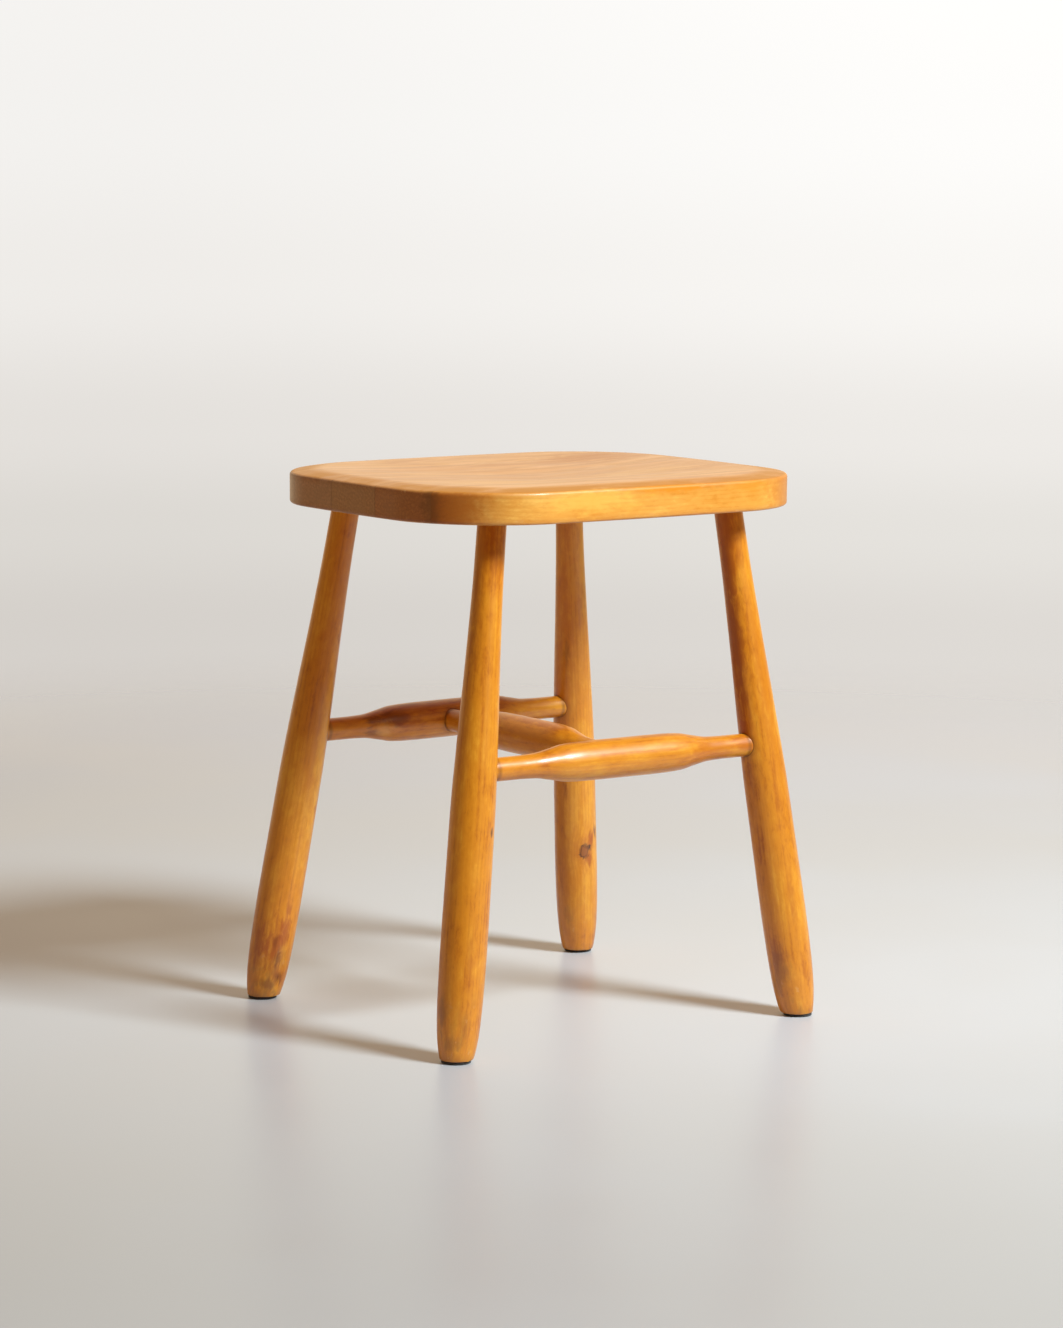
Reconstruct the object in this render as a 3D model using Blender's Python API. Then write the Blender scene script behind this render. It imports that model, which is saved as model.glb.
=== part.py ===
"""Turned household stool: a dished seat glued up from five boards, four splayed turned legs, an H of three turned
stretchers and a thin glide under each foot.

Frame: metres, +Z up, X along the long side of the seat, the front at -Y. The origin is on the floor, under the middle
of the seat. Wood pieces meet with a glue gap, so every piece stays a body of its own."""

import math

import bmesh
import bpy
from mathutils import Vector

# ---- driving dimensions -------------------------------------------------------------------------------------------
GAP = 0.0003  # glue gap between two pieces that touch

SEAT_HEIGHT = 0.450  # floor to the rim of the seat
SEAT_THICKNESS = 0.028
SEAT_HALF_X = 0.182  # half sides of the rounded rectangle, before its sides are bowed
SEAT_HALF_Y = 0.151
SEAT_CORNER = 0.086  # corner radius
SEAT_BOW = 0.006  # how far the middle of each side bows out
SEAT_CENTRE_Y = -0.004
SEAT_DISH = 0.007  # depth of the hollow in the top
SEAT_ARRIS = 0.0030  # rounding of the top edge
SEAT_CHAMFER = 0.0022  # easing of the bottom edge
SEAT_POINTS = 72

BOARD_WIDTH = 0.0625
FIRST_JOINT_Y = -0.1065  # the front board is the narrow one
BOARD_COUNT = 5

# Each leg's axis: where it meets the underside of the seat, and where it meets the floor.
LEGS = {
    "leg_front_left": ((-0.1200, -0.1085), (-0.1705, -0.1355)),
    "leg_front_right": ((0.1135, -0.1105), (0.1600, -0.1543)),
    "leg_back_left": ((-0.1170, 0.1045), (-0.1735, 0.1480)),
    "leg_back_right": ((0.1110, 0.1065), (0.1605, 0.1543)),
}
LEG_TENON_LENGTH = 0.019
LEG_POINTS = 22
# Turned profile of a leg: fraction of the way from the seat to the floor, and radius there.
LEG_PROFILE = (
    (0.00, 0.0116),
    (0.10, 0.0120),
    (0.25, 0.0137),
    (0.40, 0.0161),
    (0.55, 0.0179),
    (0.70, 0.0183),
    (0.80, 0.0185),
    (0.88, 0.0181),
    (0.94, 0.0169),
    (0.975, 0.0151),
    (1.00, 0.0128),
)

STRETCHER_HEIGHT = 0.2265  # axis of the stretchers
STRETCHER_TENON_R = 0.0094
STRETCHER_TENON_PAST_AXIS = 0.002  # the blind mortise ends just past the axis of the piece it is bored in
STRETCHER_POINTS = 20
# Turned profile of a stretcher: fraction of the way from its middle to the axis it is tenoned into, and radius.
STRETCHER_PROFILE = (
    (0.00, 0.0160),
    (0.15, 0.0160),
    (0.30, 0.0158),
    (0.40, 0.0150),
    (0.50, 0.0124),
    (0.60, 0.0100),
    (0.70, 0.0094),
)

GLIDE_RADIUS = 0.0118
GLIDE_THICKNESS = 0.0022
GLIDE_POINTS = 24

WOOD = (0.62, 0.30, 0.09)
FELT = (0.02, 0.016, 0.013)


# ---- helpers ------------------------------------------------------------------------------------------------------
def clear_scene():
    for obj in list(bpy.data.objects):
        bpy.data.objects.remove(obj, do_unlink=True)


def material(name, colour, roughness, metallic=0.0):
    found = bpy.data.materials.get(name) or bpy.data.materials.new(name)
    found.use_nodes = True
    shader = next(n for n in found.node_tree.nodes if n.type == "BSDF_PRINCIPLED")
    shader.inputs["Base Color"].default_value = (*colour, 1.0)
    shader.inputs["Roughness"].default_value = roughness
    shader.inputs["Metallic"].default_value = metallic
    found.diffuse_color = (*colour, 1.0)
    return found


def object_from(name, mesh_builder, finish=None):
    """A new object whose mesh mesh_builder fills in, shaded smooth with its hard edges kept."""
    mesh = bpy.data.meshes.new(name)
    bm = bmesh.new()
    mesh_builder(bm)
    bmesh.ops.recalc_face_normals(bm, faces=bm.faces)
    if bm.calc_volume(signed=True) < 0:
        bmesh.ops.reverse_faces(bm, faces=bm.faces)
    bm.to_mesh(mesh)
    bm.free()
    mesh.shade_smooth()
    mesh.set_sharp_from_angle(angle=math.radians(40))
    obj = bpy.data.objects.new(name, mesh)
    bpy.context.scene.collection.objects.link(obj)
    if finish:
        mesh.materials.append(finish)
    return obj


def boolean(target, cutter, operation="DIFFERENCE"):
    modifier = target.modifiers.new(f"{operation.lower()}_{cutter.name}", "BOOLEAN")
    modifier.operation = operation
    modifier.solver = "EXACT"
    modifier.object = cutter


def as_cutter(obj):
    obj.hide_render = True
    obj.display_type = "WIRE"
    return obj


def smooth_curve(stations):
    """A monotone cubic through (position, value) stations: it never overshoots a station, as a turner's sweep."""
    xs = [s[0] for s in stations]
    ys = [s[1] for s in stations]
    steps = [(ys[i + 1] - ys[i]) / (xs[i + 1] - xs[i]) for i in range(len(xs) - 1)]
    slopes = [steps[0]]
    for before, after in zip(steps, steps[1:]):
        slopes.append(0.0 if before * after <= 0 else 2 * before * after / (before + after))
    slopes.append(steps[-1])

    def value(x):
        if x <= xs[0]:
            return ys[0]
        if x >= xs[-1]:
            return ys[-1]
        i = next(k for k in range(len(xs) - 1) if x <= xs[k + 1])
        h = xs[i + 1] - xs[i]
        t = (x - xs[i]) / h
        return (
            (2 * t**3 - 3 * t**2 + 1) * ys[i]
            + (t**3 - 2 * t**2 + t) * h * slopes[i]
            + (3 * t**2 - 2 * t**3) * ys[i + 1]
            + (t**3 - t**2) * h * slopes[i + 1]
        )

    return value


def turned(bm, start, end, profile, points):
    """A solid turned about the line from start to end. profile lists (distance from start, radius)."""
    along = (end - start).normalized()
    side = along.cross(Vector((0, 0, 1)))
    side = side.normalized() if side.length > 0.2 else along.cross(Vector((1, 0, 0))).normalized()
    up = along.cross(side)
    rings = []
    for distance, radius in profile:
        centre = start + along * distance
        rings.append(
            [
                bm.verts.new(centre + radius * (side * math.cos(a) + up * math.sin(a)))
                for a in (2 * math.pi * k / points for k in range(points))
            ]
        )
    for lower, upper in zip(rings, rings[1:]):
        for k in range(points):
            j = (k + 1) % points
            bm.faces.new((lower[k], lower[j], upper[j], upper[k]))
    bm.faces.new(rings[0])
    bm.faces.new(rings[-1])


def bore(name, mouth, bottom, radius, points):
    """A cylinder that cuts a blind mortise, from outside the mouth down to its bottom."""
    length = (bottom - mouth).length
    return as_cutter(
        object_from(
            name,
            lambda bm: turned(bm, mouth, bottom, ((0, radius), (length, radius)), points),
        )
    )


# ---- where the legs and stretchers run ------------------------------------------------------------------------------
UNDERSIDE = SEAT_HEIGHT - SEAT_THICKNESS


def leg_axis(name, height):
    """The point of a leg's axis at this height above the floor."""
    (top_x, top_y), (foot_x, foot_y) = LEGS[name]
    t = height / UNDERSIDE
    return Vector((foot_x + (top_x - foot_x) * t, foot_y + (top_y - foot_y) * t, height))


SIDE_STRETCHERS = {
    "front_stretcher": ("leg_front_left", "leg_front_right"),
    "back_stretcher": ("leg_back_left", "leg_back_right"),
}


def stretcher_ends(name):
    """The points of the two axes that this stretcher runs between."""
    if name == "cross_stretcher":
        pairs = [stretcher_ends(n) for n in ("front_stretcher", "back_stretcher")]
        return tuple((a + b) / 2 for a, b in pairs)
    return tuple(leg_axis(leg, STRETCHER_HEIGHT) for leg in SIDE_STRETCHERS[name])


# ---- seat -----------------------------------------------------------------------------------------------------------
def seat_outline(inset=0.0):
    """A rounded rectangle whose four sides bow out a little, each corner the same number of points."""
    half_x, half_y, corner = SEAT_HALF_X - inset, SEAT_HALF_Y - inset, SEAT_CORNER - inset
    per_side, per_corner = 4, SEAT_POINTS // 4 - 4
    points = []
    for sx, sy, quarter in ((1, 1, 0), (-1, 1, 1), (-1, -1, 2), (1, -1, 3)):
        centre = (sx * (half_x - corner), sy * (half_y - corner))
        for k in range(per_corner + 1):
            a = math.pi / 2 * (quarter + k / per_corner)
            points.append((centre[0] + corner * math.cos(a), centre[1] + corner * math.sin(a)))
        nxt = {0: (-1, 1), 1: (-1, -1), 2: (1, -1), 3: (1, 1)}[quarter]
        a = math.pi / 2 * (quarter + 1)
        to = (
            nxt[0] * (half_x - corner) + corner * math.cos(a),
            nxt[1] * (half_y - corner) + corner * math.sin(a),
        )
        last = points[-1]
        points += [
            (last[0] + (to[0] - last[0]) * k / per_side, last[1] + (to[1] - last[1]) * k / per_side)
            for k in range(1, per_side)
        ]
    bowed = []
    for x, y in points:
        ux, uy = min(abs(x) / half_x, 1), min(abs(y) / half_y, 1)
        bowed.append(
            (
                x * (1 + SEAT_BOW * (1 - uy**2) / half_x),
                y * (1 + SEAT_BOW * (1 - ux**2) / half_y) + SEAT_CENTRE_Y,
            )
        )
    return bowed


def dish(s):
    """Depth of the hollow where s is 0 in the middle of the seat and 1 at its edge: a soft bowl with a level rim."""
    inner = min(max((0.93 - s) / 0.93, 0.0), 1.0)
    return SEAT_DISH * inner * inner * (3 - 2 * inner)


def seat_blank(bm):
    """The whole seat as one solid, before it is divided into its boards."""
    rings = []

    def ring(inset, height, scale=1.0):
        rings.append(
            [
                bm.verts.new((x * scale, SEAT_CENTRE_Y + (y - SEAT_CENTRE_Y) * scale, height))
                for x, y in seat_outline(inset)
            ]
        )

    ring(SEAT_CHAMFER, UNDERSIDE)
    ring(0.0, UNDERSIDE + SEAT_CHAMFER)
    for k in range(4):  # the rounded top edge
        a = math.pi / 2 * k / 3
        ring(
            SEAT_ARRIS * (1 - math.cos(a)),
            SEAT_HEIGHT - SEAT_ARRIS * (1 - math.sin(a)),
        )
    for scale in (0.93, 0.80, 0.66, 0.50, 0.34, 0.17):
        ring(SEAT_ARRIS, SEAT_HEIGHT - dish(scale), scale)
    middle = bm.verts.new((0, SEAT_CENTRE_Y, SEAT_HEIGHT - SEAT_DISH))
    count = len(rings[0])
    for lower, upper in zip(rings, rings[1:]):
        for k in range(count):
            j = (k + 1) % count
            bm.faces.new((lower[k], lower[j], upper[j], upper[k]))
    for k in range(count):
        bm.faces.new((rings[-1][k], rings[-1][(k + 1) % count], middle))
    bm.faces.new(rings[0])


def board_span(index):
    """The front and back Y of one board, past the seat's own edge for the first and the last."""
    front = -1.0 if index == 0 else FIRST_JOINT_Y + (index - 1) * BOARD_WIDTH + GAP / 2
    back = 1.0 if index == BOARD_COUNT - 1 else FIRST_JOINT_Y + index * BOARD_WIDTH - GAP / 2
    return max(front, -0.2), min(back, 0.2)


def slab(bm, front, back):
    """A box that keeps one board's share of the seat."""
    made = bmesh.ops.create_cube(bm, size=1.0)
    bmesh.ops.scale(bm, vec=(0.5, back - front, 0.1), verts=made["verts"])
    bmesh.ops.translate(
        bm, vec=(0, (front + back) / 2, SEAT_HEIGHT - SEAT_THICKNESS / 2), verts=made["verts"]
    )


def build_seat(wood):
    mortises = {}
    for leg in LEGS:
        top = leg_axis(leg, UNDERSIDE)
        along = (top - leg_axis(leg, 0)).normalized()
        mortises[leg] = bore(
            f"mortise_{leg}",
            top - along * 0.012,
            top + along * (LEG_TENON_LENGTH + 0.001),
            LEG_PROFILE[0][1] + GAP,
            LEG_POINTS,
        )
    for index in range(BOARD_COUNT):
        front, back = board_span(index)
        keep = as_cutter(object_from(f"slab_{index + 1}", lambda bm: slab(bm, front, back)))
        board = object_from(f"seat_board_{index + 1}", seat_blank, wood)
        boolean(board, keep, "INTERSECT")
        for leg, cutter in mortises.items():
            y = leg_axis(leg, UNDERSIDE).y
            if front - 0.016 < y < back + 0.016:
                boolean(board, cutter)


# ---- legs -----------------------------------------------------------------------------------------------------------
def build_leg(name, wood):
    radius = smooth_curve(LEG_PROFILE)
    top, floor_point = leg_axis(name, UNDERSIDE), leg_axis(name, 0)
    along = (floor_point - top).normalized()
    visible = (floor_point - top).length
    tip = top - along * LEG_TENON_LENGTH
    tenon = LEG_PROFILE[0][1]
    profile = [(0, tenon - 0.0015), (0.0015, tenon)]
    fractions = [k / 14 for k in range(13)] + [0.91, 0.94, 0.965, 0.985, 1.0]
    profile += [(LEG_TENON_LENGTH + visible * f, radius(f)) for f in fractions]
    profile.append((LEG_TENON_LENGTH + visible + 0.004, radius(1.0) - 0.001))

    def mesh(bm):
        turned(bm, tip, tip + along, profile, LEG_POINTS)
        # The foot is sawn level, parallel to the floor, on top of its glide.
        bmesh.ops.bisect_plane(
            bm,
            geom=bm.verts[:] + bm.edges[:] + bm.faces[:],
            dist=1e-6,
            plane_co=(0, 0, GLIDE_THICKNESS + GAP),
            plane_no=(0, 0, -1),
            clear_outer=True,
        )
        rim = [e for e in bm.edges if len(e.link_faces) == 1]
        bmesh.ops.edgeloop_fill(bm, edges=rim)

    return object_from(name, mesh, wood)


def build_glide(name, leg, felt):
    foot = leg_axis(leg, 0)

    def mesh(bm):
        turned(
            bm,
            Vector((foot.x, foot.y, 0)),
            Vector((foot.x, foot.y, 1)),
            (
                (0, GLIDE_RADIUS - 0.0004),
                (0.0004, GLIDE_RADIUS),
                (GLIDE_THICKNESS - 0.0004, GLIDE_RADIUS),
                (GLIDE_THICKNESS, GLIDE_RADIUS - 0.0004),
            ),
            GLIDE_POINTS,
        )

    return object_from(name, mesh, felt)


# ---- stretchers -----------------------------------------------------------------------------------------------------
def build_stretcher(name, wood):
    first, second = stretcher_ends(name)
    half = (second - first).length / 2
    middle = (first + second) / 2
    along = (second - first).normalized()
    radius = smooth_curve(STRETCHER_PROFILE)
    end = half + STRETCHER_TENON_PAST_AXIS
    half_profile = [(u * half, radius(u)) for u in (0.10, 0.2, 0.3, 0.37, 0.43, 0.49, 0.55, 0.61, 0.70)]
    half_profile += [(end - 0.0012, STRETCHER_TENON_R), (end, STRETCHER_TENON_R - 0.0012)]
    profile = [(end - d, r) for d, r in reversed(half_profile)]
    profile += [(end, radius(0.0))] + [(end + d, r) for d, r in half_profile]

    def mesh(bm):
        turned(bm, middle - along * end, middle, profile, STRETCHER_POINTS)

    return object_from(name, mesh, wood)


def bore_for(stretcher, target_name, target, at):
    """Bores the blind mortise that takes this end of the stretcher."""
    first, second = stretcher_ends(stretcher)
    outward = (at - (first + second) / 2).normalized()
    cutter = bore(
        f"mortise_{stretcher}_{target_name}",
        at - outward * 0.045,
        at + outward * (STRETCHER_TENON_PAST_AXIS + 0.001),
        STRETCHER_TENON_R + GAP,
        STRETCHER_POINTS,
    )
    boolean(target, cutter)


# ---- the stool --------------------------------------------------------------------------------------------------------
def main():
    clear_scene()
    seat_wood = material("seat_wood", WOOD, 0.35)
    turned_wood = material("turned_wood", WOOD, 0.35)
    felt = material("glide_felt", FELT, 0.9)

    build_seat(seat_wood)
    legs = {name: build_leg(name, turned_wood) for name in LEGS}
    for name in LEGS:
        build_glide(name.replace("leg_", "foot_glide_"), name, felt)
    sides = {name: build_stretcher(name, turned_wood) for name in SIDE_STRETCHERS}
    build_stretcher("cross_stretcher", turned_wood)

    for stretcher, leg_names in SIDE_STRETCHERS.items():
        for leg, at in zip(leg_names, stretcher_ends(stretcher)):
            bore_for(stretcher, leg, legs[leg], at)
    for (name, side), at in zip(sides.items(), stretcher_ends("cross_stretcher")):
        bore_for("cross_stretcher", name, side, at)


main()
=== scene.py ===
"""The looks of the turned wooden stool: satin-varnished honey-coloured wood, felt glides, a plain pale studio."""

import math

import bmesh
import bpy
import numpy as np
from mathutils import Matrix, Vector, noise


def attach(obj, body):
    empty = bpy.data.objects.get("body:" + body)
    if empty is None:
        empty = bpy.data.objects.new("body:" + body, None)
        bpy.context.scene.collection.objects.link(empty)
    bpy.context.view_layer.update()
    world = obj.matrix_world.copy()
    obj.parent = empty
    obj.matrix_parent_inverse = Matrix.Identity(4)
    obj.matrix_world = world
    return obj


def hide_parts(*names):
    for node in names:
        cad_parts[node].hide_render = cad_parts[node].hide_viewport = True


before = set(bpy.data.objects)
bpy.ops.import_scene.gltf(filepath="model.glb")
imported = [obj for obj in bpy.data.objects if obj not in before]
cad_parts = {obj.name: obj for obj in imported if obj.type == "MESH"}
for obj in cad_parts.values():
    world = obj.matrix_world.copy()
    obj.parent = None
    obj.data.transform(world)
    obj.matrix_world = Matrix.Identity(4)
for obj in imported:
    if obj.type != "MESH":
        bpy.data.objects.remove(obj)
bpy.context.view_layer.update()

# ---- sizes, in metres: the CAD's own driving dimensions --------------------------------------------------------------
SEAT_TOP = 0.450
SEAT_THICK = 0.028
UNDERSIDE = SEAT_TOP - SEAT_THICK
HALF_X, HALF_Y, CORNER, BOW = 0.182, 0.151, 0.086, 0.006
SEAT_Y = -0.004
JOINTS_Y = [-0.1065 + 0.0625 * k for k in range(4)]
LEGS = {
    "leg_front_left": ((-0.1200, -0.1085), (-0.1705, -0.1355)),
    "leg_front_right": ((0.1135, -0.1105), (0.1600, -0.1543)),
    "leg_back_left": ((-0.1170, 0.1045), (-0.1735, 0.1480)),
    "leg_back_right": ((0.1110, 0.1065), (0.1605, 0.1543)),
}
LEG_TENON = 0.019
LEG_PROFILE = (
    (0.00, 0.0116), (0.10, 0.0120), (0.25, 0.0137), (0.40, 0.0161), (0.55, 0.0179), (0.70, 0.0183),
    (0.80, 0.0185), (0.88, 0.0181), (0.94, 0.0169), (0.975, 0.0151), (1.00, 0.0128),
)
STRETCHER_Z = 0.2265
TENON_R = 0.0094
PAST_AXIS = 0.002
STRETCHER_PROFILE = (
    (0.00, 0.0160), (0.15, 0.0160), (0.30, 0.0158), (0.40, 0.0150), (0.50, 0.0124), (0.60, 0.0100), (0.70, 0.0094),
)
GLIDE_R, GLIDE_T = 0.0118, 0.0022


# ---- small geometry helpers --------------------------------------------------------------------------------------------
def smoothstep(a, b, x):
    t = min(max((x - a) / (b - a), 0.0), 1.0)
    return t * t * (3 - 2 * t)


def sweep(stations):
    """Monotone cubic through (position, value) stations."""
    xs, ys = [s[0] for s in stations], [s[1] for s in stations]
    steps = [(ys[i + 1] - ys[i]) / (xs[i + 1] - xs[i]) for i in range(len(xs) - 1)]
    slopes = [steps[0]]
    for a, b in zip(steps, steps[1:]):
        slopes.append(0.0 if a * b <= 0 else 2 * a * b / (a + b))
    slopes.append(steps[-1])

    def value(x):
        if x <= xs[0]:
            return ys[0]
        if x >= xs[-1]:
            return ys[-1]
        i = next(k for k in range(len(xs) - 1) if x <= xs[k + 1])
        h = xs[i + 1] - xs[i]
        t = (x - xs[i]) / h
        return (
            (2 * t**3 - 3 * t**2 + 1) * ys[i] + (t**3 - 2 * t**2 + t) * h * slopes[i]
            + (3 * t**2 - 2 * t**3) * ys[i + 1] + (t**3 - t**2) * h * slopes[i + 1]
        )

    return value


def leg_axis(name, height):
    (tx, ty), (fx, fy) = LEGS[name]
    t = height / UNDERSIDE
    return Vector((fx + (tx - fx) * t, fy + (ty - fy) * t, height))


def stretcher_ends(name):
    if name == "cross_stretcher":
        return tuple((a + b) / 2 for a, b in (stretcher_ends("front_stretcher"), stretcher_ends("back_stretcher")))
    left, right = {"front_stretcher": ("leg_front_left", "leg_front_right"),
                   "back_stretcher": ("leg_back_left", "leg_back_right")}[name]
    return leg_axis(left, STRETCHER_Z), leg_axis(right, STRETCHER_Z)


def placed(name, bm, matrix, smooth_angle=38):
    """An object made of bm, whose own axes are matrix's."""
    mesh = bpy.data.meshes.new(name)
    bm.to_mesh(mesh)
    bm.free()
    mesh.shade_smooth()
    mesh.set_sharp_from_angle(angle=math.radians(smooth_angle))
    obj = bpy.data.objects.new(name, mesh)
    obj.matrix_world = matrix
    bpy.context.scene.collection.objects.link(obj)
    return obj


def axis_matrix(origin, along, aside):
    """Axes with Z along the piece; X points as nearly as it can to aside."""
    z = along.normalized()
    x = (aside - z * aside.dot(z)).normalized()
    y = z.cross(x)
    m = Matrix((x, y, z)).transposed().to_4x4()
    m.translation = origin
    return m


def turned_rings(bm, profile, points, wobble=None):
    """Rings about +Z through (z, radius); wobble(angle, z) is added to the radius. Closed with a face at each end."""
    rings = []
    for z, radius in profile:
        ring = []
        for k in range(points):
            a = 2 * math.pi * k / points
            r = radius + (wobble(a, z) if wobble else 0.0)
            ring.append(bm.verts.new((r * math.cos(a), r * math.sin(a), z)))
        rings.append(ring)
    for lower, upper in zip(rings, rings[1:]):
        for k in range(points):
            j = (k + 1) % points
            bm.faces.new((lower[k], lower[j], upper[j], upper[k]))
    bm.faces.new(list(reversed(rings[0])))
    bm.faces.new(rings[-1])
    return rings


def hand_turned(seed, depth=0.00010):
    """What a turner's hand leaves: a trace out of round, soft waves along the piece and fine tool ridges."""

    def wobble(a, z):
        soft = noise.noise(Vector((math.cos(a) * 0.8 + seed * 7.1, math.sin(a) * 0.8, z * 14)))
        fine = noise.noise(Vector((math.cos(a) * 2.5, math.sin(a) * 2.5 + seed * 3.3, z * 90)))
        ridge = math.sin(z * 2 * math.pi / 0.0031 + 1.5 * math.sin(z * 40 + seed)) * 0.12
        return depth * (soft * 1.6 + fine * 0.45 + ridge * 0.35)

    return wobble


def cut(target, cutter):
    """Takes cutter out of target for good, then removes cutter."""
    modifier = target.modifiers.new("cut", "BOOLEAN")
    modifier.operation = "DIFFERENCE"
    modifier.solver = "EXACT"
    modifier.object = cutter
    bpy.context.view_layer.update()
    graph = bpy.context.evaluated_depsgraph_get()
    mesh = bpy.data.meshes.new_from_object(target.evaluated_get(graph))
    target.modifiers.clear()
    old = target.data
    target.data = mesh
    bpy.data.meshes.remove(old)
    bpy.data.objects.remove(cutter, do_unlink=True)


def bore(mouth, bottom, radius, points=64):
    bm = bmesh.new()
    length = (bottom - mouth).length
    turned_rings(bm, [(0, radius), (length, radius)], points)
    return placed("bore", bm, axis_matrix(mouth, bottom - mouth, Vector((0.3, 0.2, 1))))


# ---- node helpers ---------------------------------------------------------------------------------------------------------
class Graph:
    """A material's node tree, with short calls for what a wood finish needs."""

    def __init__(self, name):
        self.material = bpy.data.materials.new(name)
        self.material.use_nodes = True
        self.tree = self.material.node_tree
        self.tree.nodes.clear()
        self.out = self.tree.nodes.new("ShaderNodeOutputMaterial")
        self.shader = self.tree.nodes.new("ShaderNodeBsdfPrincipled")
        self.tree.links.new(self.shader.outputs[0], self.out.inputs["Surface"])

    def put(self, socket, value):
        if isinstance(value, bpy.types.NodeSocket):
            self.tree.links.new(value, socket)
        elif value is not None:
            if hasattr(socket.default_value, "__len__") and not hasattr(value, "__len__"):
                value = [value] * len(socket.default_value)
            if hasattr(value, "__len__") and len(value) == 3 and len(socket.default_value) == 4:
                value = (*value, 1.0)
            socket.default_value = value

    def math(self, op, a, b=None, c=None, clamp=False):
        n = self.tree.nodes.new("ShaderNodeMath")
        n.operation, n.use_clamp = op, clamp
        for socket, value in zip(n.inputs, (a, b, c)):
            self.put(socket, value)
        return n.outputs[0]

    def vec(self, op, a, b=None, scale=None):
        n = self.tree.nodes.new("ShaderNodeVectorMath")
        n.operation = op
        self.put(n.inputs[0], a)
        if b is not None:
            self.put(n.inputs[1], b)
        if scale is not None:
            self.put(n.inputs["Scale"], scale)
        return n.outputs["Value"] if op in ("LENGTH", "DOT_PRODUCT", "DISTANCE") else n.outputs[0]

    def noise(self, at, scale=1.0, detail=2.0, rough=0.5, distortion=0.0):
        n = self.tree.nodes.new("ShaderNodeTexNoise")
        self.put(n.inputs["Vector"], at)
        n.inputs["Scale"].default_value = scale
        n.inputs["Detail"].default_value = detail
        n.inputs["Roughness"].default_value = rough
        n.inputs["Distortion"].default_value = distortion
        return n.outputs

    def ramp(self, value, lo, hi, to_lo=0.0, to_hi=1.0, smooth=True):
        n = self.tree.nodes.new("ShaderNodeMapRange")
        n.interpolation_type = "SMOOTHSTEP" if smooth else "LINEAR"
        n.clamp = True
        for key, v in zip(("Value", "From Min", "From Max", "To Min", "To Max"), (value, lo, hi, to_lo, to_hi)):
            self.put(n.inputs[key], v)
        return n.outputs[0]

    def mix(self, factor, a, b, blend="MIX"):
        n = self.tree.nodes.new("ShaderNodeMix")
        n.data_type, n.blend_type, n.clamp_result = "RGBA", blend, False
        self.put(n.inputs[0], factor)
        self.put(n.inputs[6], a)
        self.put(n.inputs[7], b)
        return n.outputs[2]

    def bump(self, height, strength, distance, normal=None):
        n = self.tree.nodes.new("ShaderNodeBump")
        n.inputs["Strength"].default_value = strength
        n.inputs["Distance"].default_value = distance
        self.put(n.inputs["Height"], height)
        if normal is not None:
            self.put(n.inputs["Normal"], normal)
        return n.outputs[0]


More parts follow.
